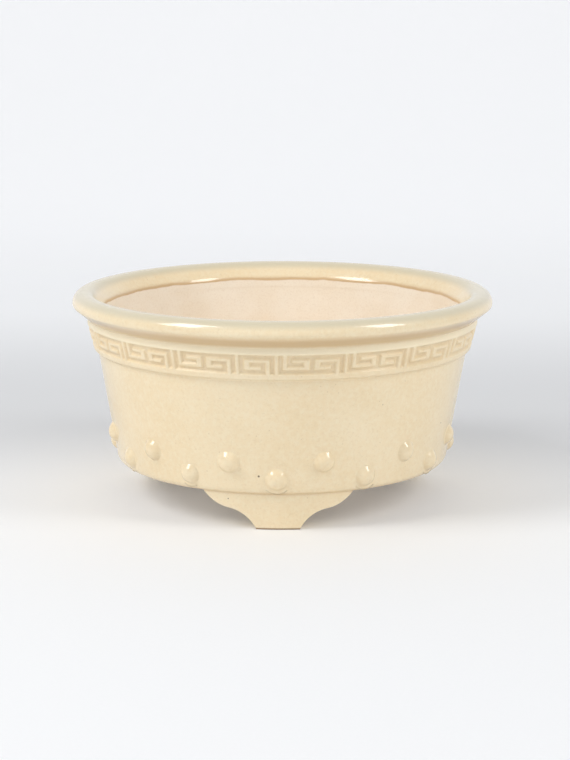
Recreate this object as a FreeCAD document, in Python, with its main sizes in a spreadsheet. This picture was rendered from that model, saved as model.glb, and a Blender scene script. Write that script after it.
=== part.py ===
import FreeCAD, Part
import math
import os

import Sketcher

# Round bonsai pot with a rolled lip, a raised key-fret band, two staggered
# rings of studs and three bracket feet. Millimetres, +Z up. The origin is on
# the pot's axis, in the plane that the feet stand on. The front foot is at -Y,
# and angles round the pot are counted from -Y towards +X.

DRIVING_DIMENSIONS = [
    ("pot_height", 74.0, "feet to the top of the lip"),
    ("rim_radius", 75.0, "widest part of the lip"),
    ("rim_shoulder_radius", 68.4, "where the lip's crest meets its inner slope"),
    ("rim_inner_radius", 63.9, "foot of the lip's inner slope"),
    ("rim_base", 65.0, "height where the lip is luted to the wall"),
    ("rim_under", 69.2, "height of the lip's lower outer corner"),
    ("rim_skirt", 68.6, "height of the foot of the inner slope"),
    ("rim_round", 4.0, "rounding of the lip's upper edges"),
    ("rim_under_round", 1.4, "rounding of the lip's lower outer edge"),
    ("rim_foot_round", 2.0, "rounding at the foot of the inner slope"),
    ("neck_radius", 69.2, "wall between the band and the lip"),
    ("mouth_wall_radius", 63.4, "inner wall just under the lip"),
    ("foot_height", 12.7, "underside of the bowl above the ground"),
    ("wall_foot_radius", 59.3, "outer wall at its bottom edge"),
    ("wall_band_radius", 66.2, "outer wall just under the band"),
    ("wall_thick", 5.0, "wall, measured level"),
    ("wall_round", 3.0, "rounding of the bowl's bottom edge"),
    ("floor_thick", 6.5, "floor slab"),
    ("drain_radius", 12.5, "central drain hole"),
    ("wire_hole_radius", 2.25, "anchor wire hole"),
    ("wire_hole_ring", 35.0, "circle of the anchor wire holes"),
    ("wire_hole_count", 4.0, "anchor wire holes"),
    ("band_low", 53.7, "lower edge of the fret band"),
    ("band_low_radius", 67.5, "face of the band at its lower edge"),
    ("band_top_radius", 69.9, "face of the band at its upper edge"),
    ("band_seat", 1.9, "depth of the strip under its face"),
    ("fret_relief", 0.75, "depth of the fret's grooves"),
    ("fret_pitch", 1.27, "height of one row of the fret"),
    ("fret_low_fillet", 2.2, "plain border under the fret"),
    ("fret_top_fillet", 2.1, "plain border over the fret"),
    ("fret_seam_turn", -0.7, "angle of the seam beside the front foot"),
    ("stud_radius", 4.15, "sphere of one stud"),
    ("stud_sink", 1.9, "sphere centre under the wall's face"),
    ("stud_low", 18.8, "height of the lower ring of studs"),
    ("stud_high", 24.9, "height of the upper ring of studs"),
    ("stud_count", 12.0, "studs in one ring"),
    ("foot_top_radius", 57.9, "foot's outer face where it meets the bowl"),
    ("foot_low_radius", 56.0, "foot's outer face at the ground"),
    ("foot_thick", 10.0, "foot, across its section"),
    ("foot_half_width", 25.2, "half of the foot's width at the bowl"),
    ("foot_waist_half", 16.0, "half width where the two curves meet"),
    ("foot_waist_height", 7.2, "height where the two curves meet"),
    ("foot_toe_half", 7.4, "half of the foot's width at the ground"),
    ("foot_lobe_round", 13.0, "radius of the upper, bulging curve"),
    ("foot_sweep_round", 12.7, "radius of the lower, hollow curve"),
    ("foot_count", 3.0, "feet"),
]

# The key fret: rows between its borders, units in the whole band, and each
# unit's width counted in line widths.
FRET_ROWS = 5
WHOLE_UNITS = 18
HALF_UNITS = 1
WHOLE_UNIT_WIDTH = 16.8
HALF_UNIT_WIDTH = 9.4

# How far each raised stroke runs into the strip's backing.
STROKE_OVERLAP = 0.3

doc = FreeCAD.newDocument("bonsai_pot")
sheet = doc.addObject("Spreadsheet::Sheet", "sizes")
pieces = []


class Size:
    """A number that also knows the sheet expression that gives it."""

    def __init__(self, value, text):
        self.value = value
        self.text = text

    def __add__(self, other):
        return Size(self.value + other.value, "(%s + %s)" % (self.text, other.text))

    def __sub__(self, other):
        return Size(self.value - other.value, "(%s - %s)" % (self.text, other.text))

    def __mul__(self, other):
        return Size(self.value * other.value, "(%s * %s)" % (self.text, other.text))

    def __truediv__(self, other):
        return Size(self.value / other.value, "(%s / %s)" % (self.text, other.text))


NOTHING = Size(0.0, "0")


def fill_sheet():
    """Write the driving dimensions, one row each, and read them back."""
    for row, (alias, value, note) in enumerate(DRIVING_DIMENSIONS, start=1):
        cell = "B%d" % row
        sheet.set("A%d" % row, alias)
        sheet.set(cell, "%g" % value)
        sheet.setAlias(cell, alias)
        sheet.set("C%d" % row, note)
    doc.recompute()
    found = {}
    for alias, value, note in DRIVING_DIMENSIONS:
        found[alias] = Size(float(sheet.get(alias)), "sizes." + alias)
    return found


size = fill_sheet()


def keep(piece, label):
    """Label a finished sub-part and list it for the export."""
    piece.Label = label
    pieces.append(piece)


def origin_plane(body, role):
    for feature in body.Origin.OriginFeatures:
        if feature.Role == role:
            return feature
    raise LookupError(role)


def body_sketch(body, name, role):
    sketch = body.newObject("Sketcher::SketchObject", name)
    sketch.AttachmentSupport = (origin_plane(body, role), [""])
    sketch.MapMode = "FlatFace"
    return sketch


def pin(sketch, edge, end, place):
    """Hold one end of a sketch edge at a place given by two Sizes."""
    for kind, length in zip(("DistanceX", "DistanceY"), place):
        index = sketch.addConstraint(Sketcher.Constraint(kind, -1, 1, edge, end, length.value))
        if length is not NOTHING:
            sketch.setExpression("Constraints[%d]" % index, length.text)


def outline(sketch, corners):
    """A closed outline of straight edges through the corners."""
    count = len(corners)
    for index, (across, up) in enumerate(corners):
        next_across, next_up = corners[(index + 1) % count]
        start = FreeCAD.Vector(across.value, up.value, 0)
        finish = FreeCAD.Vector(next_across.value, next_up.value, 0)
        sketch.addGeometry(Part.LineSegment(start, finish))
    for index, corner in enumerate(corners):
        sketch.addConstraint(Sketcher.Constraint("Coincident", index, 2, (index + 1) % count, 1))
        pin(sketch, index, 1, corner)


def turned_body(label, corners):
    """A body made by turning an outline about the pot's axis."""
    body = doc.addObject("PartDesign::Body", label)
    sketch = body_sketch(body, label + "_section", "XZ_Plane")
    outline(sketch, corners)
    turn = body.newObject("PartDesign::Revolution", label + "_turn")
    turn.Profile = sketch
    turn.ReferenceAxis = (sketch, ["V_Axis"])
    turn.Angle = 360
    doc.recompute()
    return body


def ring_edges(body, radius, height):
    """Names of the round edges that have this radius at this height."""
    names = []
    for index, edge in enumerate(body.Shape.Edges, start=1):
        if not isinstance(edge.Curve, Part.Circle):
            continue
        same_radius = abs(edge.Curve.Radius - radius.value) < 0.01
        same_height = abs(edge.Curve.Center.z - height.value) < 0.01
        if same_radius and same_height:
            names.append("Edge%d" % index)
    return names


def round_ring(body, label, radius, height, rounding):
    """Round the ring edge at this radius and height."""
    base = body.Tip
    names = ring_edges(body, radius, height)
    fillet = body.newObject("PartDesign::Fillet", label)
    fillet.Base = (base, names)
    fillet.setExpression("Radius", rounding.text)
    body.Tip = fillet
    doc.recompute()


def pocket_circle(body, label, radius, across):
    """Cut one round hole upwards through the body from the ground plane."""
    before = body.Shape.Volume
    sketch = body_sketch(body, label + "_circle", "XY_Plane")
    centre = FreeCAD.Vector(across.value, 0, 0)
    sketch.addGeometry(Part.Circle(centre, FreeCAD.Vector(0, 0, 1), radius.value))
    pin(sketch, 0, 3, (across, NOTHING))
    index = sketch.addConstraint(Sketcher.Constraint("Radius", 0, radius.value))
    sketch.setExpression("Constraints[%d]" % index, radius.text)
    hole = body.newObject("PartDesign::Pocket", label)
    hole.Profile = sketch
    hole.Type = "ThroughAll"
    hole.Reversed = True
    doc.recompute()
    if body.Shape.Volume >= before:
        raise ValueError(label + " cuts nothing")
    return hole


def wall_slope():
    """Outward run of the lower wall for each millimetre of height."""
    run = size["wall_band_radius"] - size["wall_foot_radius"]
    return run / (size["band_low"] - size["foot_height"])


def band_top():
    rows = Size(float(FRET_ROWS), str(FRET_ROWS))
    borders = size["fret_low_fillet"] + size["fret_top_fillet"]
    return size["band_low"] + borders + size["fret_pitch"] * rows


def make_floor():
    """Disc of clay inside the wall, with the drain and the wire holes."""
    low_radius = size["wall_foot_radius"] - size["wall_thick"]
    top = size["foot_height"] + size["floor_thick"]
    top_radius = low_radius + size["floor_thick"] * wall_slope()
    corners = [
        (NOTHING, size["foot_height"]),
        (low_radius, size["foot_height"]),
        (top_radius, top),
        (NOTHING, top),
    ]
    body = turned_body("floor_slab", corners)
    pocket_circle(body, "drain_hole", size["drain_radius"], NOTHING)
    wire_hole = pocket_circle(body, "wire_hole", size["wire_hole_radius"], size["wire_hole_ring"])
    before = body.Shape.Volume
    ring = body.newObject("PartDesign::PolarPattern", "wire_hole_ring")
    ring.Originals = [wire_hole]
    ring.Axis = (origin_plane(body, "Z_Axis"), [""])
    ring.Angle = 360
    ring.setExpression("Occurrences", size["wire_hole_count"].text)
    body.Tip = ring
    doc.recompute()
    if body.Shape.Volume >= before:
        raise ValueError("the wire hole pattern cuts nothing")
    keep(body, "floor_slab")


def make_wall():
    """Flared wall with a rebate for the fret strips and a flat top."""
    band_face_low = size["band_low_radius"] - size["band_seat"]
    band_face_top = size["band_top_radius"] - size["band_seat"]
    corners = [
        (size["wall_foot_radius"] - size["wall_thick"], size["foot_height"]),
        (size["wall_foot_radius"], size["foot_height"]),
        (size["wall_band_radius"], size["band_low"]),
        (band_face_low, size["band_low"]),
        (band_face_top, band_top()),
        (size["neck_radius"], band_top()),
        (size["neck_radius"], size["rim_base"]),
        (size["mouth_wall_radius"], size["rim_base"]),
        (size["wall_band_radius"] - size["wall_thick"], size["band_low"]),
    ]
    body = turned_body("pot_wall", corners)
    round_ring(body, "wall_edge_round", size["wall_foot_radius"], size["foot_height"], size["wall_round"])
    keep(body, "pot_wall")


def make_lip():
    """Rolled coil of clay luted on top of the wall."""
    corners = [
        (size["mouth_wall_radius"], size["rim_base"]),
        (size["neck_radius"], size["rim_base"]),
        (size["rim_radius"], size["rim_under"]),
        (size["rim_radius"], size["pot_height"]),
        (size["rim_shoulder_radius"], size["pot_height"]),
        (size["rim_inner_radius"], size["rim_skirt"]),
    ]
    body = turned_body("rim_lip", corners)
    round_ring(body, "lip_outer_round", size["rim_radius"], size["pot_height"], size["rim_round"])
    round_ring(body, "lip_inner_round", size["rim_shoulder_radius"], size["pot_height"], size["rim_round"])
    round_ring(body, "lip_foot_round", size["rim_inner_radius"], size["rim_skirt"], size["rim_foot_round"])
    round_ring(body, "lip_under_round", size["rim_radius"], size["rim_under"], size["rim_under_round"])
    keep(body, "rim_lip")


def face_radius(height):
    """Radius of the fret band's face at a height."""
    low = size["band_low"].value
    rise = (height - low) / (band_top().value - low)
    low_radius = size["band_low_radius"].value
    return low_radius + rise * (size["band_top_radius"].value - low_radius)


def band_piece(low, high, outer_depth, inner_depth, start, sweep):
    """Turned solid under the band's face, between two heights and angles."""
    section = []
    for height, depth in ((low, inner_depth), (low, outer_depth), (high, outer_depth), (high, inner_depth)):
        radius = face_radius(height) - depth
        section.append(FreeCAD.Vector(0, -radius, height))
    face = Part.Face(Part.makePolygon(section + section[:1]))
    face.rotate(FreeCAD.Vector(0, 0, 0), FreeCAD.Vector(0, 0, 1), start)
    return face.revolve(FreeCAD.Vector(0, 0, 0), FreeCAD.Vector(0, 0, 1), sweep)


def left_spiral(start):
    """Strokes of the spiral that hangs from the upper border.

    Each stroke is its first and last row and its two sides, in line widths.
    """
    return [
        (0, 4, start, start + 1.1),
        (4, 4, start, start + 6.5),
        (2, 4, start + 5.0, start + 6.5),
        (2, 2, start + 2.1, start + 6.5),
    ]


def right_spiral(start):
    """The same spiral turned upside down, standing on the lower border."""
    return [
        (2, 6, start + 5.2, start + 6.3),
        (2, 2, start, start + 6.3),
        (2, 4, start, start + 1.5),
        (4, 4, start, start + 4.2),
    ]


def whole_unit(start):
    """A full-height divider, then both spirals, a line width apart."""
    return [(0, 6, start, start + 1)] + left_spiral(start + 2) + right_spiral(start + 9.5)


def half_unit(start):
    """A full-height divider and only the standing spiral."""
    return [(0, 6, start, start + 1)] + right_spiral(start + 2.1)


def row_height(row):
    """Height of a row's upper edge; row 0 is the upper border."""
    if row == 0:
        return band_top().value
    return band_top().value - size["fret_top_fillet"].value - (row - 1) * size["fret_pitch"].value


def line_turn():
    """Angle of one line width, so that all the units close the circle."""
    whole = WHOLE_UNITS * WHOLE_UNIT_WIDTH
    half = HALF_UNITS * HALF_UNIT_WIDTH
    return 360.0 / (whole + half)


def make_strip(label, start, widths, strokes):
    """One strip of the band: a backing with the fret standing on it."""
    turn = line_turn()
    sweep = widths * turn
    low = size["band_low"].value
    top = band_top().value
    relief = size["fret_relief"].value
    root = relief + STROKE_OVERLAP
    backing = band_piece(low, top, relief, size["band_seat"].value, start, sweep)
    raised = [
        band_piece(low, row_height(FRET_ROWS + 1), 0, root, start, sweep),
        band_piece(row_height(1), top, 0, root, start, sweep),
    ]
    for first_row, last_row, left, right in strokes:
        bottom = low if last_row > FRET_ROWS else row_height(last_row + 1)
        stroke_start = start + left * turn
        stroke_sweep = (right - left) * turn
        raised.append(band_piece(bottom, row_height(first_row), 0, root, stroke_start, stroke_sweep))
    strip = doc.addObject("Part::Feature", label)
    strip.Shape = backing.multiFuse(raised).removeSplitter()
    keep(strip, label)


def make_band():
    """Two strips that butt beside the front foot and at the back.

    Each has half of the whole units. The left strip ends in the half units that
    fill what is left of the circle.
    """
    seam = size["fret_seam_turn"].value
    strip_units = WHOLE_UNITS // 2
    strokes = []
    for unit in range(strip_units):
        strokes += whole_unit(unit * WHOLE_UNIT_WIDTH)
    width = strip_units * WHOLE_UNIT_WIDTH
    make_strip("fret_band_right", seam, width, strokes)

    left_strokes = list(strokes)
    for unit in range(HALF_UNITS):
        left_strokes += half_unit(width + unit * HALF_UNIT_WIDTH)
    left_width = width + HALF_UNITS * HALF_UNIT_WIDTH
    make_strip("fret_band_left", seam + width * line_turn(), left_width, left_strokes)


def make_wall_cone():
    """The bowl's outer face as a solid cone, to trim the studs against."""
    cone = doc.addObject("Part::Cone", "wall_cone")
    cone.setExpression("Radius1", size["wall_foot_radius"].text)
    cone.setExpression("Radius2", size["wall_band_radius"].text)
    cone.setExpression("Height", (size["band_low"] - size["foot_height"]).text)
    cone.setExpression("Placement.Base.z", size["foot_height"].text)
    return cone


def make_ball(label, height):
    """Ball of clay at the front of the wall, its centre just under the face."""
    wall_radius = size["wall_foot_radius"] + (height - size["foot_height"]) * wall_slope()
    centre_radius = wall_radius - size["stud_sink"]
    ball = doc.addObject("Part::Sphere", label)
    ball.setExpression("Radius", size["stud_radius"].text)
    ball.setExpression("Placement.Base.y", "-1 * " + centre_radius.text)
    ball.setExpression("Placement.Base.z", height.text)
    return ball


def turned_to(angle):
    """Placement turned about the pot's axis."""
    return FreeCAD.Placement(FreeCAD.Vector(), FreeCAD.Rotation(FreeCAD.Vector(0, 0, 1), angle))


def make_studs():
    """Two rings of domed studs, the upper one half a step round from the lower."""
    cone = make_wall_cone()
    count = int(size["stud_count"].value)
    for ring, height, offset in (("low", "stud_low", 0), ("high", "stud_high", 0.5)):
        ball = make_ball("stud_%s_ball" % ring, size[height])
        for index in range(count):
            label = "stud_%s_%02d" % (ring, index + 1)
            stud = doc.addObject("Part::Cut", label)
            stud.Base = ball
            stud.Tool = cone
            stud.Placement = turned_to((index + offset) * 360 / count)
            keep(stud, label)


def foot_ring():
    """Tapered ring that all the feet are cut from."""
    low_inner = size["foot_low_radius"] - size["foot_thick"]
    top_inner = size["foot_top_radius"] - size["foot_thick"]
    corners = [
        (low_inner, NOTHING),
        (size["foot_low_radius"], NOTHING),
        (size["foot_top_radius"], size["foot_height"]),
        (top_inner, size["foot_height"]),
    ]
    return turned_body("foot_ring", corners)


def bowed_arc(sketch, start, finish, radius, towards):
    """Arc of this radius between two corners, bowed to the side that is named.

    Returns the arc's number in the sketch, then the number of its end at start
    and of its end at finish. A sketch keeps its arcs anticlockwise.
    """
    chord = finish - start
    bow = FreeCAD.Vector(-chord.y, chord.x, 0).normalize()
    anticlockwise = bow.dot(towards) < 0
    if not anticlockwise:
        start, finish = finish, start
        bow = bow * -1
    centre = (start + finish) * 0.5 + bow * math.sqrt(radius.value ** 2 - chord.Length ** 2 / 4)
    first = math.atan2(start.y - centre.y, start.x - centre.x)
    last = math.atan2(finish.y - centre.y, finish.x - centre.x)
    circle = Part.Circle(centre, FreeCAD.Vector(0, 0, 1), radius.value)
    number = sketch.addGeometry(Part.ArcOfCircle(circle, first, last))
    if anticlockwise:
        return number, 1, 2
    return number, 2, 1


def bracket_outline():
    """Cloud-shaped front view of a foot, the same on both sides."""
    sketch = doc.addObject("Sketcher::SketchObject", "bracket_outline")
    sketch.Placement = FreeCAD.Placement(FreeCAD.Vector(), FreeCAD.Rotation(FreeCAD.Vector(1, 0, 0), 90))
    top = (size["foot_half_width"], size["foot_height"])
    waist = (size["foot_waist_half"], size["foot_waist_height"])
    toe = (size["foot_toe_half"], NOTHING)

    def corner(place, side):
        return FreeCAD.Vector(side * place[0].value, place[1].value, 0)

    curves = {}
    for side in (1, -1):
        outward = FreeCAD.Vector(side, -1, 0)
        inward = outward * -1
        lobe = bowed_arc(sketch, corner(top, side), corner(waist, side), size["foot_lobe_round"], outward)
        sweep = bowed_arc(sketch, corner(waist, side), corner(toe, side), size["foot_sweep_round"], inward)
        curves[side] = (lobe, sweep)
    upper_line = sketch.addGeometry(Part.LineSegment(corner(top, -1), corner(top, 1)))
    lower_line = sketch.addGeometry(Part.LineSegment(corner(toe, -1), corner(toe, 1)))

    for side, line_end in ((-1, 1), (1, 2)):
        lobe, sweep = curves[side]
        sketch.addConstraint(Sketcher.Constraint("Coincident", lobe[0], lobe[1], upper_line, line_end))
        sketch.addConstraint(Sketcher.Constraint("Coincident", lobe[0], lobe[2], sweep[0], sweep[1]))
        sketch.addConstraint(Sketcher.Constraint("Coincident", sweep[0], sweep[2], lower_line, line_end))
    lobe, sweep = curves[1]
    pin(sketch, lobe[0], lobe[1], top)
    pin(sketch, sweep[0], sweep[1], waist)
    pin(sketch, sweep[0], sweep[2], toe)
    for curve, rounding in ((lobe, size["foot_lobe_round"]), (sweep, size["foot_sweep_round"])):
        index = sketch.addConstraint(Sketcher.Constraint("Radius", curve[0], rounding.value))
        sketch.setExpression("Constraints[%d]" % index, rounding.text)
    for curve, end in ((0, 1), (0, 2), (1, 2)):
        right = curves[1][curve]
        left = curves[-1][curve]
        places = (left[0], left[end], right[0], right[end])
        sketch.addConstraint(Sketcher.Constraint("Symmetric", *places, -2))
    for right, left in zip(curves[1], curves[-1]):
        sketch.addConstraint(Sketcher.Constraint("Equal", right[0], left[0]))
    return sketch


def make_feet():
    """Three bracket feet that follow the bowl's circle."""
    ring = foot_ring()
    block = doc.addObject("Part::Extrusion", "bracket_block")
    block.Base = bracket_outline()
    block.DirMode = "Normal"
    block.setExpression("LengthFwd", (size["foot_top_radius"] + size["foot_thick"]).text)
    block.Solid = True
    step = 360.0 / size["foot_count"].value
    for index, label in enumerate(("foot_front", "foot_rear_right", "foot_rear_left")):
        foot = doc.addObject("Part::Common", label)
        foot.Base = ring
        foot.Tool = block
        foot.Placement = turned_to(index * step)
        keep(foot, label)


def check_document():
    """Stop when anything in the document failed to compute."""
    for thing in doc.Objects:
        for state in thing.State:
            if state in ("Invalid", "Error"):
                raise RuntimeError("%s is %s" % (thing.Label, state))
    for piece in pieces:
        shape = piece.Shape
        if shape.isNull() or not shape.isValid():
            raise RuntimeError(piece.Label + " has no valid shape")
        if len(shape.Solids) != 1:
            raise RuntimeError("%s has %d solids" % (piece.Label, len(shape.Solids)))


def export_pieces():
    os.makedirs("parts", exist_ok=True)
    for piece in pieces:
        piece.Shape.exportStep("parts/%s.step" % piece.Label)


make_floor()
make_wall()
make_lip()
make_band()
make_studs()
make_feet()
doc.recompute()
check_document()
export_pieces()
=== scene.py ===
import math

import bmesh
import bpy
import numpy as np
from mathutils import Euler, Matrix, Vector, noise


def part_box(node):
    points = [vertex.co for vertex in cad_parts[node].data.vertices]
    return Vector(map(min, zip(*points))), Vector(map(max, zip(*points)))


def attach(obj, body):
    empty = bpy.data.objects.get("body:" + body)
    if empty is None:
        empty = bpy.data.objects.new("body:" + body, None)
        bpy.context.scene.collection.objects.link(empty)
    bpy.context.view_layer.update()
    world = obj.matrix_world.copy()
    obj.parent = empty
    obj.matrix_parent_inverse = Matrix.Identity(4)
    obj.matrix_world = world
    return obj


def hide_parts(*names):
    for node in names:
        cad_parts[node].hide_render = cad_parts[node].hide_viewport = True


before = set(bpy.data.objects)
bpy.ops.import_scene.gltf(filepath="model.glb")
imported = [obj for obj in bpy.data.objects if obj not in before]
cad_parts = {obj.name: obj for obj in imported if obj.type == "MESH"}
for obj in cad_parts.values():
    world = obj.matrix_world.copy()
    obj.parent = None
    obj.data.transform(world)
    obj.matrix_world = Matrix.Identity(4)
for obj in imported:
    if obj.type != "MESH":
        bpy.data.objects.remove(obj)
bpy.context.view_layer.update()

# All sizes are in metres, in the row frame: the pot's axis is Z, the ground is
# Z = 0 and the front foot is at -Y. Angles round the pot count from -Y towards
# +X, and an outline point is (radius, height, rounding).

MM = 0.001
SEGMENTS = 288
DETAIL_STEP = 0.21 * MM


def box_of(node):
    low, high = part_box(node)
    return Vector(low), Vector(high)


wall_low, wall_high = box_of("pot_wall")
lip_low, lip_high = box_of("rim_lip")
_, slab_high = box_of("floor_slab")
band_low, band_high = box_of("fret_band_right")
foot_low, _ = box_of("foot_front")
low_stud_low, low_stud_high = box_of("stud_low_01")
high_stud_low, high_stud_high = box_of("stud_high_01")

# Radii that the boxes don't give, each as a distance from one that they do.
LIP_RADIUS = lip_high.x
NECK_RADIUS = wall_high.x
BAND_TOP_RADIUS = -band_low.y
BAND_LOW_RADIUS = BAND_TOP_RADIUS - 2.4 * MM
WALL_BAND_RADIUS = BAND_LOW_RADIUS - 1.3 * MM
WALL_FOOT_RADIUS = WALL_BAND_RADIUS - 6.9 * MM
WALL_THICK = 5.0 * MM
BAND_SEAT = 1.9 * MM
MOUTH_WALL_RADIUS = NECK_RADIUS - 5.8 * MM
LIP_SHOULDER_RADIUS = LIP_RADIUS - 6.6 * MM
LIP_INNER_RADIUS = LIP_RADIUS - 11.1 * MM
SLAB_RADIUS = slab_high.x
DRAIN_RADIUS = 12.5 * MM
WIRE_HOLE_RADIUS = 2.25 * MM
WIRE_HOLE_RING = 35 * MM

GROUND = foot_low.z
BOWL_UNDERSIDE = wall_low.z
FLOOR_TOP = slab_high.z
BAND_BOTTOM = band_low.z
BAND_TOP = band_high.z
LIP_BASE = lip_low.z
LIP_TOP = lip_high.z


# ---------------------------------------------------------------- mesh tools

def rounded(corners, steps=7):
    """Outline points through the corners, each rounded by its own radius."""
    points = []
    count = len(corners)
    for index, (radius, height, rounding) in enumerate(corners):
        corner = Vector((radius, height))
        if rounding == 0:
            points.append(corner)
            continue
        before = Vector(corners[index - 1][:2]) - corner
        after = Vector(corners[(index + 1) % count][:2]) - corner
        turn = math.pi - before.angle(after)
        reach = rounding * math.tan(turn / 2)
        start = corner + before.normalized() * reach
        finish = corner + after.normalized() * reach
        middle = (before.normalized() + after.normalized()).normalized()
        centre = corner + middle * (rounding / math.cos(turn / 2))
        first = start - centre
        last = finish - centre
        swing = first.angle_signed(last)
        for step in range(steps + 1):
            angle = -swing * step / steps
            spoke = Vector((
                first.x * math.cos(angle) - first.y * math.sin(angle),
                first.x * math.sin(angle) + first.y * math.cos(angle),
            ))
            points.append(centre + spoke)
    return points


def evenly(points, step):
    """The same open path with points no more than a step apart."""
    path = [points[0]]
    for start, finish in zip(points, points[1:]):
        pieces = max(1, math.ceil((finish - start).length / step))
        for piece in range(1, pieces + 1):
            path.append(start.lerp(finish, piece / pieces))
    return path


def place(angle, radius, height):
    """Point at this angle, radius and height, with the hand-made unevenness."""
    waver = 0.16 * MM * noise.noise(Vector((math.sin(angle), math.cos(angle), height / 0.06)) * 1.3)
    radius += waver * min(1.0, radius / 0.05)
    return Vector((radius * math.sin(angle), -radius * math.cos(angle), height))


def new_piece(name, vertices, faces, material, slot_name, *nodes):
    """A smooth-shaded piece that rides on the pot and stands for CAD nodes."""
    mesh = bpy.data.meshes.new(name)
    mesh.from_pydata(vertices, [], faces)
    work = bmesh.new()
    work.from_mesh(mesh)
    bmesh.ops.recalc_face_normals(work, faces=work.faces)
    work.to_mesh(mesh)
    work.free()
    mesh.shade_smooth()
    piece = bpy.data.objects.new(name, mesh)
    bpy.context.collection.objects.link(piece)
    mesh.materials.append(material)
    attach(piece, "root")
    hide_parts(*nodes)
    return piece


def turned_piece(name, outline, material, slot_name, *nodes):
    """A piece made by turning a closed outline about the pot's axis."""
    vertices = []
    for segment in range(SEGMENTS):
        angle = 2 * math.pi * segment / SEGMENTS
        for point in outline:
            vertices.append(place(angle, point.x, point.y))
    faces = []
    count = len(outline)
    for segment in range(SEGMENTS):
        here = segment * count
        there = ((segment + 1) % SEGMENTS) * count
        for index in range(count):
            after = (index + 1) % count
            faces.append((here + index, here + after, there + after, there + index))
    piece = new_piece(name, vertices, faces, material, slot_name, *nodes)
    piece.data.set_sharp_from_angle(angle=math.radians(45))
    return piece


def set_pool_and_shade(piece, darkening):
    """Say how much the glaze is darkened at each vertex, 0 to 1: by pooling in the fret's grooves, partly
    painted shade, and by painted shade round the studs.
    """
    pool = piece.data.attributes.new("pool", "FLOAT", "POINT")
    pool.data.foreach_set("value", darkening)


def soften(piece, width, segments=3, angle=35):
    """Round the piece's sharp edges, as glaze and a wet sponge leave them."""
    bevel = piece.modifiers.new("soft_edges", "BEVEL")
    bevel.width = width
    bevel.segments = segments
    bevel.limit_method = "ANGLE"
    bevel.angle_limit = math.radians(angle)
    bevel.use_clamp_overlap = True
    bevel.harden_normals = False
    return bevel


# ----------------------------------------------------------------- materials

class Nodes:
    """Short calls for building one material's node tree."""

    def __init__(self, name):
        self.material = bpy.data.materials.new(name)
        self.material.use_nodes = True
        self.tree = self.material.node_tree
        self.shader = self.tree.nodes["Principled BSDF"]
        self.place = self.tree.nodes.new("ShaderNodeTexCoord").outputs["Object"]

    def link(self, source, target):
        self.tree.links.new(source, target)

    def feed(self, value, socket):
        if isinstance(value, bpy.types.NodeSocket):
            self.link(value, socket)
        else:
            socket.default_value = value

    def noise(self, scale, detail=3.0, rough=0.5, stretch=(1, 1, 1)):
        """Fractal noise, 0 to 1, with that many bumps to the metre."""
        mapping = self.tree.nodes.new("ShaderNodeMapping")
        mapping.inputs["Scale"].default_value = stretch
        self.link(self.place, mapping.inputs["Vector"])
        texture = self.tree.nodes.new("ShaderNodeTexNoise")
        texture.inputs["Scale"].default_value = scale
        texture.inputs["Detail"].default_value = detail
        texture.inputs["Roughness"].default_value = rough
        self.link(mapping.outputs["Vector"], texture.inputs["Vector"])
        return texture.outputs["Fac"]

    def cells(self, scale):
        """Distance to the nearest of that many scattered dots to the metre."""
        texture = self.tree.nodes.new("ShaderNodeTexVoronoi")
        texture.inputs["Scale"].default_value = scale
        self.link(self.place, texture.inputs["Vector"])
        return texture.outputs["Distance"]

    def math(self, operation, first, second=0.0):
        node = self.tree.nodes.new("ShaderNodeMath")
        node.operation = operation
        self.feed(first, node.inputs[0])
        self.feed(second, node.inputs[1])
        return node.outputs[0]

    def between(self, value, low, high, out_low=0.0, out_high=1.0):
        """Value from low to high, smoothly mapped to the out range and held there."""
        node = self.tree.nodes.new("ShaderNodeMapRange")
        node.interpolation_type = "SMOOTHSTEP"
        self.feed(value, node.inputs["Value"])
        node.inputs["From Min"].default_value = low
        node.inputs["From Max"].default_value = high
        node.inputs["To Min"].default_value = out_low
        node.inputs["To Max"].default_value = out_high
        return node.outputs["Result"]

    def mix(self, amount, first, second):
        node = self.tree.nodes.new("ShaderNodeMix")
        node.data_type = "RGBA"
        self.feed(amount, node.inputs["Factor"])
        self.feed(first, node.inputs["A"])
        self.feed(second, node.inputs["B"])
        return node.outputs["Result"]

    def axis_radius(self):
        """Distance from the pot's axis."""
        flat = self.tree.nodes.new("ShaderNodeVectorMath")
        flat.operation = "MULTIPLY"
        flat.inputs[1].default_value = (1, 1, 0)
        self.link(self.place, flat.inputs[0])
        length = self.tree.nodes.new("ShaderNodeVectorMath")
        length.operation = "LENGTH"
        self.link(flat.outputs["Vector"], length.inputs[0])
        return length.outputs["Value"]

    def height(self):
        node = self.tree.nodes.new("ShaderNodeSeparateXYZ")
        self.link(self.place, node.inputs["Vector"])
        return node.outputs["Z"]

    def depth(self):
        """Distance behind the pot's axis."""
        node = self.tree.nodes.new("ShaderNodeSeparateXYZ")
        self.link(self.place, node.inputs["Vector"])
        return node.outputs["Y"]

    def distance_to(self, point):
        node = self.tree.nodes.new("ShaderNodeVectorMath")
        node.operation = "DISTANCE"
        self.link(self.place, node.inputs[0])
        node.inputs[1].default_value = point
        return node.outputs["Value"]

    def pool(self):
        """How much the glaze is darkened here by pooling and painted shade; 0 on pieces that don't say."""
        node = self.tree.nodes.new("ShaderNodeAttribute")
        node.attribute_name = "pool"
        return node.outputs["Fac"]

    def bump(self, strength, distance, height):
        node = self.tree.nodes.new("ShaderNodeBump")
        node.inputs["Strength"].default_value = strength
        node.inputs["Distance"].default_value = distance
        self.link(height, node.inputs["Height"])
        self.link(node.outputs["Normal"], self.shader.inputs["Normal"])


def colour(red, green, blue):
    """Linear colour from the 0 to 255 values that a screen shows."""
    linear = []
    for value in (red, green, blue):
        share = value / 255
        linear.append(share / 12.92 if share < 0.04045 else ((share + 0.055) / 1.055) ** 2.4)
    return (*linear, 1.0)


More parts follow.
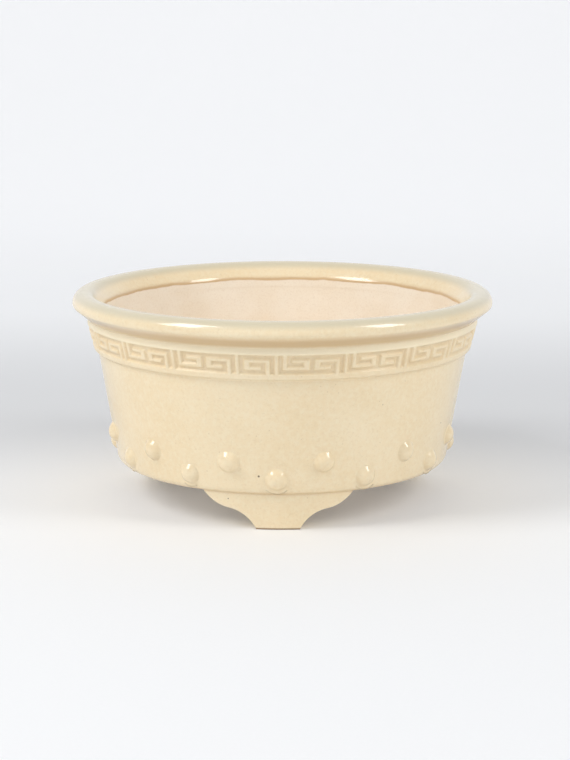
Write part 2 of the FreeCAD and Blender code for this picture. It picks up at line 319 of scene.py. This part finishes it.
# Iron specks that are large enough to see one by one: angle, height, size.
IRON_SPECKS = [
    (-6.0, 19.6, 0.34),
    (-26.0, 70.3, 0.22),
    (-40.5, 66.9, 0.16),
    (5.2, 13.2, 0.20),
    (-17.0, 10.6, 0.22),
    (-22.0, 12.4, 0.14),
    (21.5, 11.6, 0.16),
    (33.0, 43.0, 0.13),
    (64.0, 31.0, 0.20),
    (118.0, 38.0, 0.26),
    (171.0, 26.0, 0.22),
    (-141.0, 47.0, 0.24),
    (-96.0, 33.0, 0.18),
]


def outer_radius(height):
    """Radius of the pot's outer face at a height, without the fret."""
    if height >= BAND_TOP:
        return NECK_RADIUS + 3.5 * MM
    if height >= BAND_BOTTOM:
        rise = (height - BAND_BOTTOM) / (BAND_TOP - BAND_BOTTOM)
        return BAND_LOW_RADIUS + rise * (BAND_TOP_RADIUS - BAND_LOW_RADIUS)
    if height >= BOWL_UNDERSIDE:
        rise = (height - BOWL_UNDERSIDE) / (BAND_BOTTOM - BOWL_UNDERSIDE)
        return WALL_FOOT_RADIUS + rise * (WALL_BAND_RADIUS - WALL_FOOT_RADIUS)
    return WALL_FOOT_RADIUS - 1.8 * MM


def clay_tone(nodes):
    """Colour of the bare, pinkish clay."""
    cloud = nodes.between(nodes.noise(30, 4, 0.6), 0.3, 0.7)
    tone = nodes.mix(cloud, colour(249, 238, 222), colour(243, 228, 207))
    grain = nodes.between(nodes.noise(1500, 2, 0.6), 0.45, 0.8, 0.0, 0.25)
    return nodes.mix(grain, tone, colour(214, 190, 164))


def mottled_cream(nodes):
    """Colour of the glaze on a plain face, with cloudy patches and fine speckle."""
    cloud = nodes.between(nodes.noise(38, 4, 0.55), 0.3, 0.7)
    tone = nodes.mix(cloud, colour(246, 227, 191), colour(242, 220, 180))
    mottle = nodes.between(nodes.noise(620, 3, 0.6), 0.35, 0.75, 0.0, 0.5)
    tone = nodes.mix(mottle, tone, colour(248, 234, 203))
    peel = nodes.between(nodes.noise(1150, 2, 0.6), 0.5, 0.75, 0.0, 0.35)
    tone = nodes.mix(peel, tone, colour(229, 206, 166))
    dust = nodes.between(nodes.cells(260), 0.03, 0.075, 0.30, 0.0)
    return nodes.mix(dust, tone, colour(178, 148, 108))


def with_specks(nodes, tone):
    """The iron specks, each with a soft edge."""
    for angle, level, size in IRON_SPECKS:
        point = place(math.radians(angle), outer_radius(level * MM), level * MM)
        speck = nodes.between(nodes.distance_to(point), size * 0.6 * MM, size * 1.5 * MM, 0.85, 0.0)
        tone = nodes.mix(speck, tone, colour(84, 62, 44))
    return tone


def with_painted_light_and_pools(nodes, tone, height):
    """Painted light and shade on the glaze: a greyer lip crest (painted shade and reflection), a darker
    crease over the feet and hollow under the lip (painted shade), a paler upper border on the band (painted
    light), and darker glaze where the pieces say, from pooling in the fret's grooves and painted shade.
    """
    # Painted shade and reflection: the lip's crest is made greyer and darker, for the dim light it gets and
    # mirrors from above.
    crest = nodes.between(height, LIP_TOP - 3.0 * MM, LIP_TOP - 0.6 * MM, 0.0, 0.85)
    tone = nodes.mix(crest, tone, colour(212, 203, 178))
    # Painted shade along the bowl's bottom edge and in its crease with the feet.
    joint = nodes.between(height, BOWL_UNDERSIDE - 0.6 * MM, BOWL_UNDERSIDE + 0.2 * MM)
    over_joint = nodes.between(height, BOWL_UNDERSIDE + 0.4 * MM, BOWL_UNDERSIDE + 1.3 * MM, 0.55, 0.0)
    tone = nodes.mix(nodes.math("MULTIPLY", joint, over_joint), tone, colour(214, 184, 140))
    # Painted light: the band's upper border is made paler, as if lit from above.
    border = nodes.between(height, BAND_TOP - 2.4 * MM, BAND_TOP - 1.6 * MM)
    over_border = nodes.between(height, BAND_TOP - 0.3 * MM, LIP_BASE, 0.8, 0.0)
    tone = nodes.mix(nodes.math("MULTIPLY", border, over_border), tone, colour(254, 240, 208))
    # Painted shade in the hollow under the lip.
    hollow = nodes.between(height, BAND_TOP, LIP_BASE + 0.7 * MM)
    over_hollow = nodes.between(height, LIP_BASE + 2.0 * MM, LIP_BASE + 4.6 * MM, 0.85, 0.0)
    tone = nodes.mix(nodes.math("MULTIPLY", hollow, over_hollow), tone, colour(206, 176, 134))
    # Darker glaze where the pieces say: pooling in the fret's grooves, partly painted shade, and painted
    # shade round the studs.
    patchy = nodes.between(nodes.noise(150, 2), 0.3, 0.7, 0.18, 0.36)
    return nodes.mix(nodes.math("MULTIPLY", nodes.pool(), patchy), tone, colour(208, 178, 134))


def with_edges(nodes, tone, height):
    """Where the glaze ends: tan over bare clay in the lip; at the ground a brown line where the glaze
    stops, painted darker as contact shadow.

    Also returns how bare the surface is, 0 to 1.
    """
    reach = LIP_INNER_RADIUS + 1.5 * MM
    inside = nodes.between(nodes.axis_radius(), reach, reach + 0.8 * MM, 1.0, 0.0)
    above_wall = nodes.between(height, LIP_BASE - 5.0 * MM, LIP_BASE - 3.0 * MM)
    inside = nodes.math("MULTIPLY", inside, above_wall)
    ragged = nodes.math("MULTIPLY", nodes.noise(90, 2), 1.5 * MM)
    edge = nodes.math("ADD", height, ragged)
    line = nodes.between(edge, LIP_BASE + 3.7 * MM, LIP_BASE + 4.6 * MM, 0.7, 0.0)
    tone = nodes.mix(nodes.math("MULTIPLY", inside, line), tone, colour(208, 172, 128))
    bare = nodes.between(edge, LIP_BASE + 3.0 * MM, LIP_BASE + 3.5 * MM, 1.0, 0.0)
    bare = nodes.math("MULTIPLY", inside, bare)
    tone = nodes.mix(bare, tone, clay_tone(nodes))
    # Painted contact shadow: a brown line along the ground, where the glaze also stops.
    glaze_end_and_contact_shadow = nodes.between(height, GROUND + 0.3 * MM, GROUND + 0.8 * MM, 0.9, 0.0)
    return nodes.mix(glaze_end_and_contact_shadow, tone, colour(138, 110, 80)), bare


def glaze_material():
    """Glossy cream glaze, a little less glossy over the fret and matt where bare."""
    nodes = Nodes("cream_glaze")
    height = nodes.height()
    tone = with_painted_light_and_pools(nodes, with_specks(nodes, mottled_cream(nodes)), height)
    tone, bare = with_edges(nodes, tone, height)
    nodes.link(tone, nodes.shader.inputs["Base Color"])

    band = nodes.between(height, BAND_BOTTOM - 1.5 * MM, BAND_BOTTOM)
    band = nodes.math("MULTIPLY", band, nodes.between(height, BAND_TOP, BAND_TOP + 1.0 * MM, 1.0, 0.0))
    rough = nodes.between(nodes.noise(60, 3), 0.3, 0.7, 0.12, 0.19)
    rough = nodes.math("ADD", rough, nodes.math("MULTIPLY", band, 0.22))
    rough = nodes.math("ADD", rough, nodes.math("MULTIPLY", bare, 0.55))
    nodes.link(rough, nodes.shader.inputs["Roughness"])
    nodes.shader.inputs["IOR"].default_value = 1.68
    ripple = nodes.math("ADD", nodes.noise(120, 2), nodes.math("MULTIPLY", nodes.noise(700, 2), 0.12))
    nodes.bump(0.35, 0.25 * MM, ripple)
    return nodes.material


def clay_material():
    """Bare, matt clay with faint throwing rings."""
    nodes = Nodes("bare_clay")
    nodes.link(clay_tone(nodes), nodes.shader.inputs["Base Color"])
    nodes.shader.inputs["Roughness"].default_value = 0.72
    rings = nodes.noise(160, 2, 0.5, (0.15, 0.15, 3))
    grit = nodes.math("ADD", rings, nodes.math("MULTIPLY", nodes.noise(2200, 2), 0.4))
    nodes.bump(0.5, 0.12 * MM, grit)
    return nodes.material


def stage_material():
    """Matt, pale neutral paper with a painted soft grey shadow behind the pot."""
    nodes = Nodes("studio_paper")
    grain = nodes.noise(900, 2)
    tone = nodes.mix(grain, colour(235, 236, 238), colour(238, 239, 241))
    # Painted shadow: a soft grey band on the paper just behind the pot.
    behind = nodes.depth()
    shade = nodes.between(behind, -0.01, 0.12)
    shade = nodes.math("MULTIPLY", shade, nodes.between(behind, 0.15, 0.42, 1.0, 0.0))
    tone = nodes.mix(shade, tone, colour(212, 213, 215))
    nodes.link(tone, nodes.shader.inputs["Base Color"])
    nodes.shader.inputs["Roughness"].default_value = 0.9

    # Painted light: the paper glows, more further back and a little under the pot, standing for light that
    # comes back off the paper and between it and the pot's underside.
    glow = nodes.between(behind, 0.15, 0.9, 0.05, 0.22)
    under = nodes.between(nodes.axis_radius(), 45 * MM, 80 * MM, 0.02, 0.0)
    glow = nodes.math("ADD", glow, under)
    nodes.link(glow, nodes.shader.inputs["Emission Strength"])
    nodes.shader.inputs["Emission Color"].default_value = colour(250, 249, 250)
    nodes.bump(0.05, 0.1 * MM, grain)
    return nodes.material


GLAZE = glaze_material()
CLAY = clay_material()


# -------------------------------------------------------------------- pieces

def make_wall():
    """The wall as two close-fitting rings: glazed outside, bare inside."""
    middle = WALL_THICK / 2
    outside = rounded([
        (WALL_FOOT_RADIUS - middle, BOWL_UNDERSIDE, 0),
        (WALL_FOOT_RADIUS, BOWL_UNDERSIDE, 3.0 * MM),
        (WALL_BAND_RADIUS, BAND_BOTTOM, 0.15 * MM),
        (BAND_LOW_RADIUS - BAND_SEAT, BAND_BOTTOM, 0),
        (BAND_TOP_RADIUS - BAND_SEAT, BAND_TOP, 0),
        (NECK_RADIUS, BAND_TOP, 0),
        (NECK_RADIUS, LIP_BASE, 0),
        (NECK_RADIUS - middle, LIP_BASE, 0),
        (WALL_BAND_RADIUS - middle, BAND_BOTTOM, 0),
    ])
    turned_piece("wall_outside", evenly(outside, 2 * MM), GLAZE, "glaze", "pot_wall")
    toe = SLAB_RADIUS - 4 * MM
    inside = rounded([
        (SLAB_RADIUS + 0.2 * MM, FLOOR_TOP - 2 * MM, 0),
        (toe, FLOOR_TOP - 0.3 * MM, 0),
        (toe, FLOOR_TOP, 0),
        (SLAB_RADIUS, FLOOR_TOP + 0.3 * MM, 4.0 * MM),
        (WALL_BAND_RADIUS - WALL_THICK, BAND_BOTTOM, 12 * MM),
        (MOUTH_WALL_RADIUS, LIP_BASE, 0),
        (NECK_RADIUS - middle, LIP_BASE, 0),
        (WALL_BAND_RADIUS - middle, BAND_BOTTOM, 0),
        (WALL_FOOT_RADIUS - middle, BOWL_UNDERSIDE, 0),
        (WALL_FOOT_RADIUS - WALL_THICK, BOWL_UNDERSIDE, 0),
    ])
    turned_piece("wall_inside", inside, CLAY, "bare_clay", "pot_wall")


def make_lip():
    """Rolled lip with a hollow curve under it that runs into the neck."""
    outline = rounded([
        (MOUTH_WALL_RADIUS - 0.1 * MM, LIP_BASE, 0),
        (LIP_INNER_RADIUS, LIP_BASE + 3.6 * MM, 5.0 * MM),
        (LIP_SHOULDER_RADIUS, LIP_TOP, 4.0 * MM),
        (LIP_RADIUS, LIP_TOP, 4.0 * MM),
        (LIP_RADIUS, LIP_BASE + 4.3 * MM, 1.4 * MM),
        (NECK_RADIUS + 0.1 * MM, LIP_BASE - 0.3 * MM, 2.4 * MM),
        (NECK_RADIUS + 0.1 * MM, BAND_TOP - 1.4 * MM, 0),
        (NECK_RADIUS - 0.6 * MM, BAND_TOP - 1.4 * MM, 0),
        (MOUTH_WALL_RADIUS + 1.0 * MM, LIP_BASE, 0),
    ], 12)
    turned_piece("lip", outline, GLAZE, "glaze", "rim_lip")


def cut_holes(piece):
    """Cut the anchor-wire holes through the floor."""
    for quarter in range(4):
        angle = math.radians(90 * quarter + 90)
        bpy.ops.mesh.primitive_cylinder_add(
            vertices=40,
            radius=WIRE_HOLE_RADIUS,
            depth=0.03,
            location=place(angle, WIRE_HOLE_RING, (BOWL_UNDERSIDE + FLOOR_TOP) / 2),
        )
        cutter = bpy.context.object
        hole = piece.modifiers.new("hole", "BOOLEAN")
        hole.operation = "DIFFERENCE"
        hole.object = cutter
        hole.solver = "EXACT"
        graph = bpy.context.evaluated_depsgraph_get()
        cut = bpy.data.meshes.new_from_object(piece.evaluated_get(graph))
        piece.modifiers.remove(hole)
        piece.data = cut
        bpy.data.objects.remove(cutter)


def make_floor():
    """Floor slab with the drain hole and the anchor-wire holes."""
    outline = rounded([
        (DRAIN_RADIUS, BOWL_UNDERSIDE, 0.7 * MM),
        (WALL_FOOT_RADIUS - WALL_THICK, BOWL_UNDERSIDE, 0),
        (SLAB_RADIUS, FLOOR_TOP, 0),
        (DRAIN_RADIUS, FLOOR_TOP, 1.1 * MM),
    ])
    piece = turned_piece("floor", outline, CLAY, "bare_clay", "floor_slab")
    cut_holes(piece)
    soften(piece, 0.5 * MM, 2, 50)


# Key fret. Widths are counted in line widths and heights in rows. Row 0 is the
# plain border over the fret and row 6 the one under it.
FRET_ROWS = 5
WHOLE_UNITS = 18
WHOLE_UNIT_WIDTH = 16.8
HALF_UNIT_WIDTH = 9.4
LINE_TURN = 2 * math.pi / (WHOLE_UNITS * WHOLE_UNIT_WIDTH + HALF_UNIT_WIDTH)
SEAM_TURN = math.radians(-0.7)
FRET_LOW_BORDER = 2.2 * MM
FRET_TOP_BORDER = 2.1 * MM
FRET_PITCH = (BAND_TOP - BAND_BOTTOM - FRET_LOW_BORDER - FRET_TOP_BORDER) / FRET_ROWS
FRET_RELIEF = 0.75 * MM
FRET_EDGE = 0.36 * MM
FRET_BACK = 1.6 * MM


def left_spiral(start):
    """Spiral that hangs from the upper border: rows, then sides, of each stroke."""
    return [
        (0, 4, start, start + 1.1),
        (4, 4, start, start + 6.5),
        (2, 4, start + 5.0, start + 6.5),
        (2, 2, start + 2.1, start + 6.5),
    ]


def right_spiral(start):
    """The same spiral turned upside down, standing on the lower border."""
    return [
        (2, 6, start + 5.2, start + 6.3),
        (2, 2, start, start + 6.3),
        (2, 4, start, start + 1.5),
        (4, 4, start, start + 4.2),
    ]


def whole_unit(start):
    return [(0, 6, start, start + 1)] + left_spiral(start + 2) + right_spiral(start + 9.5)


def half_unit(start):
    return [(0, 6, start, start + 1)] + right_spiral(start + 2.1)


def fret_strokes():
    """Every stroke round the pot, from the seam beside the front foot."""
    strokes = []
    for unit in range(WHOLE_UNITS):
        strokes += whole_unit(unit * WHOLE_UNIT_WIDTH)
    last = WHOLE_UNITS * WHOLE_UNIT_WIDTH
    around = last + HALF_UNIT_WIDTH
    strokes += half_unit(last)
    strokes.append((0, 6, around, around + 1))
    return strokes, WHOLE_UNITS // 2 * WHOLE_UNIT_WIDTH, around


def row_top(row):
    """Height of a row's upper edge."""
    if row == 0:
        return BAND_TOP + FRET_PITCH
    return BAND_TOP - FRET_TOP_BORDER - (row - 1) * FRET_PITCH


def soft_step(value):
    share = np.clip(value, 0.0, 1.0)
    return share * share * (3 - 2 * share)


def soft_bar(values, low, high, edge):
    """1 between low and high, falling softly to 0 across each edge."""
    return soft_step((values - low) / (2 * edge) + 0.5) * soft_step((high - values) / (2 * edge) + 0.5)


def fret_height(columns, heights):
    """How raised the fret is, 0 to 1, on a grid of columns and heights."""
    line = LINE_TURN * (BAND_LOW_RADIUS + BAND_TOP_RADIUS) / 2
    edge = FRET_EDGE / line
    raised = np.zeros((len(columns), len(heights)))
    borders = [(row_top(1), BAND_TOP + FRET_PITCH), (BAND_BOTTOM - FRET_PITCH, row_top(FRET_ROWS + 1))]
    for low, high in borders:
        raised = np.maximum(raised, soft_bar(heights, low, high, FRET_EDGE)[None, :])
    strokes, seam, around = fret_strokes()
    for first_row, last_row, left, right in strokes:
        low = BAND_BOTTOM - FRET_PITCH if last_row > FRET_ROWS else row_top(last_row + 1)
        near = (columns > left - 1) & (columns < right + 1)
        across = soft_bar(columns[near], left, right, edge)
        up = soft_bar(heights, low, row_top(first_row), FRET_EDGE)
        raised[near] = np.maximum(raised[near], across[:, None] * up[None, :])
    return raised


def fret_section():
    """Open section of the strip's face, from the wall up to the neck."""
    corners = [
        (WALL_BAND_RADIUS - 0.25 * MM, BAND_BOTTOM - 0.35 * MM, 0),
        (WALL_BAND_RADIUS + 0.12 * MM, BAND_BOTTOM - 0.05 * MM, 0.25 * MM),
        (BAND_LOW_RADIUS + 0.05 * MM, BAND_BOTTOM + 0.1 * MM, 0.7 * MM),
        (BAND_TOP_RADIUS - 0.05 * MM, BAND_TOP - 1.2 * MM, 2.4 * MM),
        (NECK_RADIUS + 0.15 * MM, BAND_TOP + 0.9 * MM, 0.6 * MM),
        (NECK_RADIUS - 0.1 * MM, BAND_TOP + 1.3 * MM, 0),
    ]
    return evenly(rounded(corners, 4), DETAIL_STEP)


def section_normals(section):
    """Outward direction of the section at each of its points."""
    normals = []
    for index in range(len(section)):
        before = section[max(index - 1, 0)]
        after = section[min(index + 1, len(section) - 1)]
        along = (after - before).normalized()
        normals.append(Vector((along.y, -along.x)))
    return normals


def make_strip(name, node, first, last):
    """One fret strip between two columns, counted in line widths."""
    section = fret_section()
    normals = section_normals(section)
    step = DETAIL_STEP / (LINE_TURN * BAND_TOP_RADIUS)
    count = math.ceil((last - first) / step)
    # One ghost column beyond each end keeps the shading unbroken at the butt joints.
    columns = first + (last - first) * np.arange(-1, count + 2) / count
    _, _, around = fret_strokes()
    heights = np.array([point.y for point in section])
    raised = fret_height(np.mod(columns, around), heights)
    sunk = FRET_RELIEF * (1 - raised)
    grid = []
    for column, line in enumerate(columns):
        angle = SEAM_TURN + line * LINE_TURN
        for row, point in enumerate(section):
            depth = sunk[column, row] if BAND_BOTTOM < point.y < BAND_TOP else 0.0
            grid.append(place(angle, point.x - normals[row].x * depth, point.y - normals[row].y * depth))
    points = np.array([tuple(point) for point in grid]).reshape(len(columns), len(section), 3)
    shading = np.cross(np.gradient(points, axis=0), np.gradient(points, axis=1))
    shading /= np.linalg.norm(shading, axis=2, keepdims=True)
    points = points[1:-1]
    shading = shading[1:-1]

    rows = len(section)
    faces = []
    for column in range(len(points) - 1):
        for row in range(rows - 1):
            here = column * rows + row
            faces.append((here, here + rows, here + rows + 1, here + 1))
    back_start = len(points) * rows
    back = []
    for column in range(len(points)):
        inward = 1 - FRET_BACK / BAND_LOW_RADIUS
        for row in (0, rows - 1):
            point = points[column, row]
            back.append((point[0] * inward, point[1] * inward, point[2]))
    for column in range(len(points) - 1):
        low = back_start + 2 * column
        front = column * rows
        faces.append((low, low + 2, front + rows, front))
        faces.append((low + 1, front + rows - 1, front + 2 * rows - 1, low + 3))
        faces.append((low, low + 1, low + 3, low + 2))
    for column in (0, len(points) - 1):
        edge = [column * rows + row for row in range(rows)]
        faces.append(edge + [back_start + 2 * column + 1, back_start + 2 * column])
    vertices = [tuple(point) for point in points.reshape(-1, 3)] + back
    piece = new_piece(name, vertices, faces, GLAZE, "glaze", node)
    face_normals = [tuple(normal) for normal in shading.reshape(-1, 3)]
    outward = [Vector((x, y, 0)).normalized() for x, y, _ in back]
    piece.data.normals_split_custom_set_from_vertices(face_normals + [tuple(v) for v in outward])
    inside = (heights > BAND_BOTTOM) & (heights < BAND_TOP)
    # Darker glaze in the fret's grooves: pooling, partly painted shade.
    pool_and_shade_values = np.where(inside[None, :], 1 - raised[1:-1], 0.0).reshape(-1)
    set_pool_and_shade(piece, np.concatenate([pool_and_shade_values, np.zeros(len(back))]).astype(np.float32))
    return piece


def make_band():
    strokes, seam, around = fret_strokes()
    make_strip("fret_right", "fret_band_right", 0.0, seam)
    make_strip("fret_left", "fret_band_left", seam, around)


STUD_BASE = (low_stud_high.x - low_stud_low.x) / 2
STUD_RISE = 2.25 * MM
STUD_SKIRT = 0.9 * MM
STUD_FILLET = 0.5 * MM


def stud_profile(reach):
    """Height of the dome over the wall at a distance from its middle."""
    ball = (STUD_BASE ** 2 + STUD_RISE ** 2) / (2 * STUD_RISE)
    inside = min(reach, ball * 0.985)
    dome = math.sqrt(ball ** 2 - inside ** 2) - (ball - STUD_RISE) - 4 * (reach - inside)
    blend = max(STUD_FILLET * 2 - abs(dome), 0.0) / (STUD_FILLET * 2)
    return max(dome, 0.0) + blend * blend * STUD_FILLET / 2


def make_stud(name, node, angle, height, size):
    """Domed pellet whose glazed skirt runs out on to the wall."""
    slope = math.atan((WALL_BAND_RADIUS - WALL_FOOT_RADIUS) / (BAND_BOTTOM - BOWL_UNDERSIDE))
    rings = 16
    spokes = 40
    reach_limit = STUD_BASE + STUD_SKIRT

    def on_wall(across, up, rise):
        """Point at a distance across and up the wall from the stud's middle."""
        level = height + up * math.cos(slope)
        radius = outer_radius(level)
        turn = angle + across / radius
        return place(turn, radius + rise * math.cos(slope), level - rise * math.sin(slope))

    vertices = [on_wall(0, 0, STUD_RISE * size)]
    pool_and_shade_values = [0.0]
    for ring in range(1, rings + 1):
        # The last ring lies under the wall's face, so that the skirt's edge shades like the wall.
        reach = reach_limit * (math.sin(math.pi / 2 * ring / (rings - 1)) if ring < rings else 1.15)
        sink = 0.06 * MM if ring == rings else 0.02 * MM * max(0.0, (reach / reach_limit - 0.8) / 0.2)
        for spoke in range(spokes):
            around = 2 * math.pi * spoke / spokes
            rise = stud_profile(reach) * size - sink
            vertices.append(on_wall(reach * size * math.cos(around), reach * size * math.sin(around), rise))
            # Painted shade round the stud's base, strongest below it and faintest above.
            edge = 1 - abs(reach - STUD_BASE) / STUD_SKIRT
            pool_and_shade_values.append(max(0.0, edge) * (0.45 - 0.35 * math.sin(around)))
    root = len(vertices)
    vertices.append(on_wall(0, 0, -1.0 * MM))
    pool_and_shade_values.append(0.0)
    faces = []
    for spoke in range(spokes):
        after = (spoke + 1) % spokes
        faces.append((0, 1 + spoke, 1 + after))
        for ring in range(rings - 1):
            here = 1 + ring * spokes
            faces.append((here + spoke, here + spokes + spoke, here + spokes + after, here + after))
        edge = 1 + (rings - 1) * spokes
        faces.append((root, edge + after, edge + spoke))
    stud = new_piece(name, vertices, faces, GLAZE, "glaze", node)
    set_pool_and_shade(stud, pool_and_shade_values)


def make_studs():
    """Both rings of studs, each stud a little different from the next."""
    count = 12
    low_height = (low_stud_low.z + low_stud_high.z) / 2
    high_height = (high_stud_low.z + high_stud_high.z) / 2
    for ring, height, offset in (("low", low_height, 0.0), ("high", high_height, 0.5)):
        for index in range(count):
            angle = 2 * math.pi * (index + offset) / count
            chance = noise.cell(Vector((index * 3.7, offset * 9.1, 2.3)))
            drift = noise.cell(Vector((index * 5.3, offset * 7.7, 8.1))) - 0.5
            size = 0.97 + 0.06 * chance
            name = "dome_%s_%02d" % (ring, index + 1)
            node = "stud_%s_%02d" % (ring, index + 1)
            make_stud(name, node, angle + math.radians(0.5 * drift), height + 0.3 * MM * drift, size)


FOOT_TOE_HALF = 7.4 * MM
FOOT_WAIST_HALF = 16.0 * MM
FOOT_WAIST_HEIGHT = 7.2 * MM
FOOT_TOP_HALF = 25.2 * MM
FOOT_LOBE_ROUND = 13.0 * MM
FOOT_SWEEP_ROUND = 12.7 * MM
FOOT_TAPER = 1.9 * MM
FOOT_THICK = 10.0 * MM
FOOT_SETBACK = 1.4 * MM


def arc_between(start, finish, radius, side, steps):
    """Points along an arc from start to finish; side is 1 or -1."""
    chord = finish - start
    across = Vector((-chord.y, chord.x)).normalized() * side
    centre = (start + finish) / 2 + across * math.sqrt(radius ** 2 - chord.length_squared / 4)
    first = start - centre
    last = finish - centre
    turn = math.atan2(first.x * last.y - first.y * last.x, first.dot(last))
    points = []
    for step in range(steps + 1):
        angle = turn * step / steps
        spoke = Vector((
            first.x * math.cos(angle) - first.y * math.sin(angle),
            first.x * math.sin(angle) + first.y * math.cos(angle),
        ))
        points.append(centre + spoke)
    return points


def foot_side():
    """Right edge of the cloud bracket, from the ground up: (half width, height)."""
    toe = Vector((FOOT_TOE_HALF, GROUND))
    waist = Vector((FOOT_WAIST_HALF, FOOT_WAIST_HEIGHT))
    top = Vector((FOOT_TOP_HALF, BOWL_UNDERSIDE))
    sweep = arc_between(toe, waist, FOOT_SWEEP_ROUND, -1, 12)
    lobe = arc_between(waist, top, FOOT_LOBE_ROUND, 1, 12)
    root = Vector((FOOT_TOP_HALF + 0.3 * MM, BOWL_UNDERSIDE + 0.7 * MM))
    return sweep + lobe[1:] + [root]


def make_foot(name, node, turn):
    """Bracket foot that follows the bowl's circle, glazed down to the ground."""
    side = foot_side()
    columns = 30
    face_radius = WALL_FOOT_RADIUS - FOOT_SETBACK
    vertices = []
    for depth in (0.0, FOOT_THICK):
        for point in side:
            taper = FOOT_TAPER * max(0.0, 1 - point.y / BOWL_UNDERSIDE)
            radius = face_radius - taper - depth
            for column in range(columns + 1):
                across = point.x * (2 * column / columns - 1)
                angle = math.asin(min(0.99, across / radius))
                vertices.append(place(turn + angle, radius, point.y))
    rows = len(side)
    width = columns + 1
    back = rows * width
    faces = []
    for row in range(rows - 1):
        for column in range(columns):
            here = row * width + column
            faces.append((here, here + 1, here + width + 1, here + width))
            there = back + here
            faces.append((there, there + width, there + width + 1, there + 1))
        for column in (0, columns):
            here = row * width + column
            faces.append((here, here + width, back + here + width, back + here))
    for row in (0, rows - 1):
        for column in range(columns):
            here = row * width + column
            faces.append((here, back + here, back + here + 1, here + 1))
    piece = new_piece(name, vertices, faces, GLAZE, "glaze", node)
    soften(piece, 0.7 * MM, 4, 40)


def make_feet():
    make_foot("front_foot", "foot_front", 0.0)
    make_foot("rear_right_foot", "foot_rear_right", 2 * math.pi / 3)
    make_foot("rear_left_foot", "foot_rear_left", -2 * math.pi / 3)


make_wall()
make_lip()
make_floor()
make_band()
make_studs()
make_feet()


# --------------------------------------------------------------------- stage

def make_sweep():
    """Paper sweep: a flat floor that curves up into the backdrop."""
    back = 0.75
    bend = 0.45
    outline = [(-2.5, 0.0), (back, 0.0)]
    for step in range(1, 25):
        angle = math.pi / 2 * step / 24
        outline.append((back + bend * math.sin(angle), bend * (1 - math.cos(angle))))
    outline.append((back + bend, 2.4))
    vertices = []
    for across in (-2.2, 2.2):
        for depth, height in outline:
            vertices.append((across, depth, height + GROUND))
    count = len(outline)
    faces = [(i, i + count, i + count + 1, i + 1) for i in range(count - 1)]
    mesh = bpy.data.meshes.new("sweep")
    mesh.from_pydata(vertices, [], faces)
    mesh.shade_smooth()
    mesh.materials.append(stage_material())
    sweep = bpy.data.objects.new("sweep", mesh)
    bpy.context.collection.objects.link(sweep)


def softbox(name, azimuth, elevation, distance, width, height, power, tint):
    """Square soft light that looks at the pot's middle from the camera's side."""
    target = Vector((0, 0, LIP_TOP / 2))
    light = bpy.data.lights.new(name, "AREA")
    light.shape = "RECTANGLE"
    light.size = width
    light.size_y = height
    light.energy = power
    light.color = tint
    lamp = bpy.data.objects.new(name, light)
    flat = math.cos(math.radians(elevation)) * distance
    lamp.location = target + Vector((
        flat * math.sin(math.radians(azimuth)),
        -flat * math.cos(math.radians(azimuth)),
        math.sin(math.radians(elevation)) * distance,
    ))
    lamp.rotation_euler = (target - lamp.location).to_track_quat("-Z", "Y").to_euler()
    bpy.context.collection.objects.link(lamp)


def make_lights():
    softbox("left_softbox", -60, 44, 1.15, 0.38, 0.52, 5.1, (1.0, 0.985, 0.96))
    softbox("right_softbox", 64, 38, 1.25, 0.32, 0.52, 3.6, (1.0, 0.985, 0.96))
    softbox("front_fill", 0, 14, 2.2, 2.6, 1.3, 3.2, (1.0, 1.0, 1.0))
    world = bpy.data.worlds.new("studio")
    world.use_nodes = True
    background = world.node_tree.nodes["Background"]
    background.inputs["Color"].default_value = (0.96, 0.98, 1.0, 1.0)
    background.inputs["Strength"].default_value = 0.56
    bpy.context.scene.world = world


def make_camera():
    """Camera in front, looking a little down, with the pot just left of centre."""
    distance = 0.7095
    height = 0.1825
    aside = 0.96 * MM
    azimuth = math.radians(1.44)
    pitch = math.radians(11.32)
    focal_share = 2000 / 760
    camera = bpy.data.cameras.new("camera")
    camera.sensor_fit = "VERTICAL"
    camera.sensor_height = 24
    camera.lens = 24 * focal_share
    camera.clip_start = 0.01
    viewer = bpy.data.objects.new("camera", camera)
    viewer.location = (
        distance * math.sin(azimuth) + aside * math.cos(azimuth),
        -distance * math.cos(azimuth) + aside * math.sin(azimuth),
        height,
    )
    viewer.rotation_euler = Euler((math.pi / 2 - pitch, 0, azimuth))
    bpy.context.collection.objects.link(viewer)
    bpy.context.scene.camera = viewer


make_sweep()
make_lights()
make_camera()
bpy.context.scene.view_settings.view_transform = "Standard"
